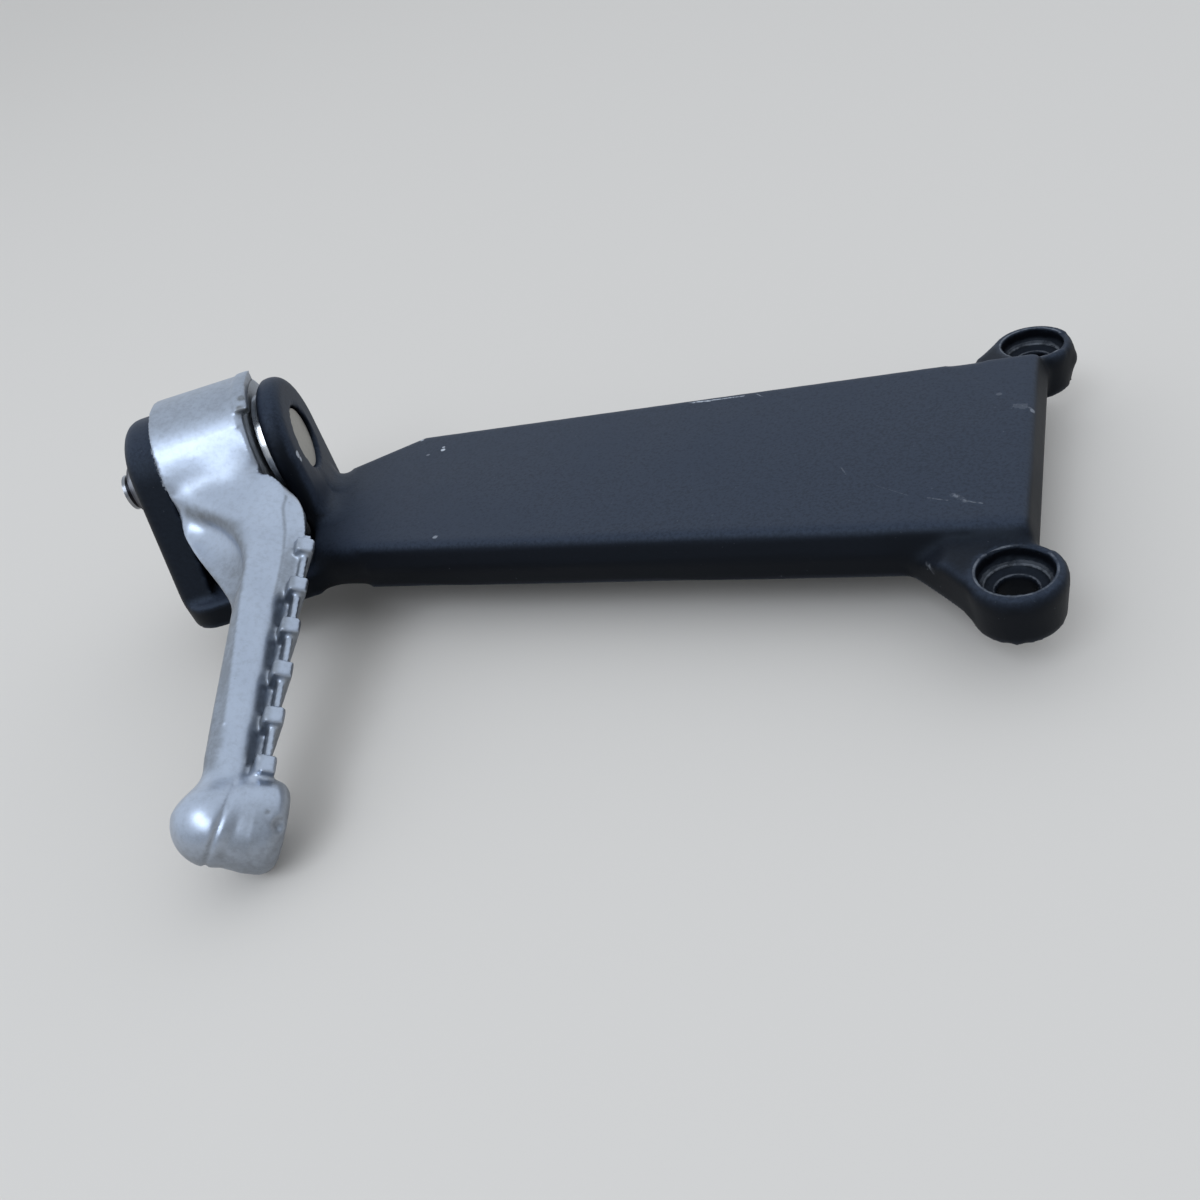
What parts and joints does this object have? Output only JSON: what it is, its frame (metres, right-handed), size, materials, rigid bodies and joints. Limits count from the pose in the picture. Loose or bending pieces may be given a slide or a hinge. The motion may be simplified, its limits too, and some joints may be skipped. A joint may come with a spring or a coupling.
{
  "type": "passenger footpeg",
  "caption": "Folding bare-metal motorcycle passenger footpeg pinned in the clevis of a black cast mounting arm that bolts to the frame.",
  "frame": {"origin": "midway between the two bolt holes, on the face that bolts to the frame", "axes": "+Z outwards from the mounting face, Y through both bolt holes, the arm reaches towards -X"},
  "size_m": [0.2519, 0.1844, 0.0651],
  "materials": {
    "black_coat": "satin black powder coat over cast aluminium",
    "bare_alloy": "satin bare cast aluminium, worn",
    "pin_steel": "plated steel",
    "washer_steel": "plain steel",
    "clip_steel": "dark spring steel",
    "plate_steel": "bright plated steel",
    "ball_steel": "polished bearing steel",
    "spring_steel": "spring steel"
  },
  "bodies": {
    "bracket": {"bracket_arm": "black_coat", "pivot_pin": "pin_steel", "clip_washer": "washer_steel", "retaining_clip": "clip_steel", "detent_plate": "plate_steel"},
    "peg": {"footpeg": "bare_alloy", "detent_ball": "ball_steel", "detent_spring": "spring_steel"}
  },
  "joints": [
    {"name": "peg_fold", "type": "hinge", "parent": "bracket", "child": "peg", "pos_m": [-0.2122, -0.01499, 0.033], "axis": [-0.891, -0.454, 0], "range_deg": [0, 105]}
  ]
}
